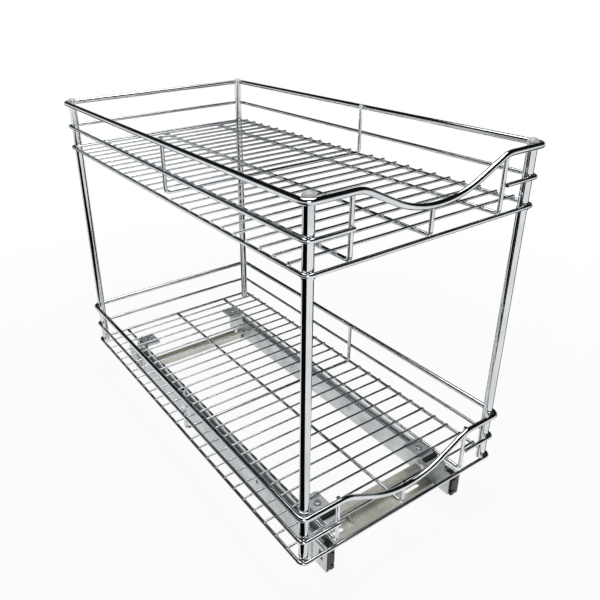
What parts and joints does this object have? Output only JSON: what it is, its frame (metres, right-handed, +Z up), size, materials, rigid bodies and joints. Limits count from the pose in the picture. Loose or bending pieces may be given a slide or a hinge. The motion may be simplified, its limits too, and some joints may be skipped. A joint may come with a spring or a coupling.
{
  "type": "pull out cabinet basket",
  "caption": "Pull-out cabinet basket: chromed wire trays on posts, with a scalloped front, over full-extension ball slides held by floor plates.",
  "frame": {"origin": "centre of the footprint, on the cabinet floor under the floor plates", "axes": "+X to the right seen from the front, +Y towards the back of the cabinet, +Z up; it pulls out along -Y"},
  "size_m": [0.287, 0.541, 0.4231],
  "materials": {
    "chrome_wire": "bright chrome plate on steel wire and tube",
    "zinc_steel": "zinc-plated and galvanised steel sheet, satin",
    "cap_plastic": "translucent white plastic",
    "black_plastic": "black moulded plastic",
    "pad_rubber": "black rubber",
    "bright_steel": "bright steel"
  },
  "bodies": {
    "base": {"outer_member_left": "zinc_steel", "outer_member_right": "zinc_steel", "front_floor_plate": "zinc_steel", "back_floor_plate": "zinc_steel", "plate_rivets": "zinc_steel"},
    "drawer": {"lower_top_rail": "chrome_wire", "lower_mid_rail": "chrome_wire", "lower_bottom_rail": "chrome_wire", "lower_deck_wires": "chrome_wire", "lower_side_tie": "chrome_wire", "lower_support_left": "chrome_wire", "lower_support_centre": "chrome_wire", "lower_support_right": "chrome_wire", "upper_top_rail": "chrome_wire", "upper_mid_rail": "chrome_wire", "upper_bottom_rail": "chrome_wire", "upper_deck_wires": "chrome_wire", "upper_side_tie": "chrome_wire", "upper_support_left": "chrome_wire", "upper_support_centre": "chrome_wire", "upper_support_right": "chrome_wire", "post_front_left": "chrome_wire", "post_front_right": "chrome_wire", "post_back_left": "chrome_wire", "post_back_right": "chrome_wire", "post_caps": "cap_plastic", "post_collars": "chrome_wire", "front_tabs": "zinc_steel", "back_tabs": "zinc_steel", "front_pads": "pad_rubber", "tab_screws": "bright_steel", "tab_nuts": "zinc_steel", "runner_left": "zinc_steel", "runner_right": "zinc_steel", "runner_rivets": "zinc_steel", "inner_member_left": "zinc_steel", "inner_member_right": "zinc_steel", "end_block_left": "black_plastic", "end_block_right": "black_plastic"},
    "middle_left": {"middle_member_left": "zinc_steel"},
    "outer_cage_left": {"outer_retainer_left": "zinc_steel", "outer_balls_left": "bright_steel"},
    "inner_cage_left": {"inner_retainer_left": "zinc_steel", "inner_balls_left": "bright_steel"},
    "middle_right": {"middle_member_right": "zinc_steel"},
    "outer_cage_right": {"outer_retainer_right": "zinc_steel", "outer_balls_right": "bright_steel"},
    "inner_cage_right": {"inner_retainer_right": "zinc_steel", "inner_balls_right": "bright_steel"}
  },
  "joints": [
    {"name": "drawer_slide", "type": "slide", "parent": "base", "child": "drawer", "axis": [0, -1, 0], "range_m": [0, 0.48]},
    {"name": "middle_slide_left", "type": "slide", "parent": "base", "child": "middle_left", "axis": [0, -1, 0], "range_m": [0, 0.24]},
    {"name": "outer_cage_roll_left", "type": "slide", "parent": "base", "child": "outer_cage_left", "axis": [0, -1, 0], "range_m": [0, 0.12]},
    {"name": "inner_cage_roll_left", "type": "slide", "parent": "middle_left", "child": "inner_cage_left", "axis": [0, -1, 0], "range_m": [0, 0.12]},
    {"name": "middle_slide_right", "type": "slide", "parent": "base", "child": "middle_right", "axis": [0, -1, 0], "range_m": [0, 0.24]},
    {"name": "outer_cage_roll_right", "type": "slide", "parent": "base", "child": "outer_cage_right", "axis": [0, -1, 0], "range_m": [0, 0.12]},
    {"name": "inner_cage_roll_right", "type": "slide", "parent": "middle_right", "child": "inner_cage_right", "axis": [0, -1, 0], "range_m": [0, 0.12]}
  ],
  "couplings": [
    {"joint": "middle_slide_left", "follows": "drawer_slide", "ratio": 0.5},
    {"joint": "outer_cage_roll_left", "follows": "drawer_slide", "ratio": 0.25},
    {"joint": "inner_cage_roll_left", "follows": "drawer_slide", "ratio": 0.25},
    {"joint": "middle_slide_right", "follows": "drawer_slide", "ratio": 0.5},
    {"joint": "outer_cage_roll_right", "follows": "drawer_slide", "ratio": 0.25},
    {"joint": "inner_cage_roll_right", "follows": "drawer_slide", "ratio": 0.25}
  ]
}
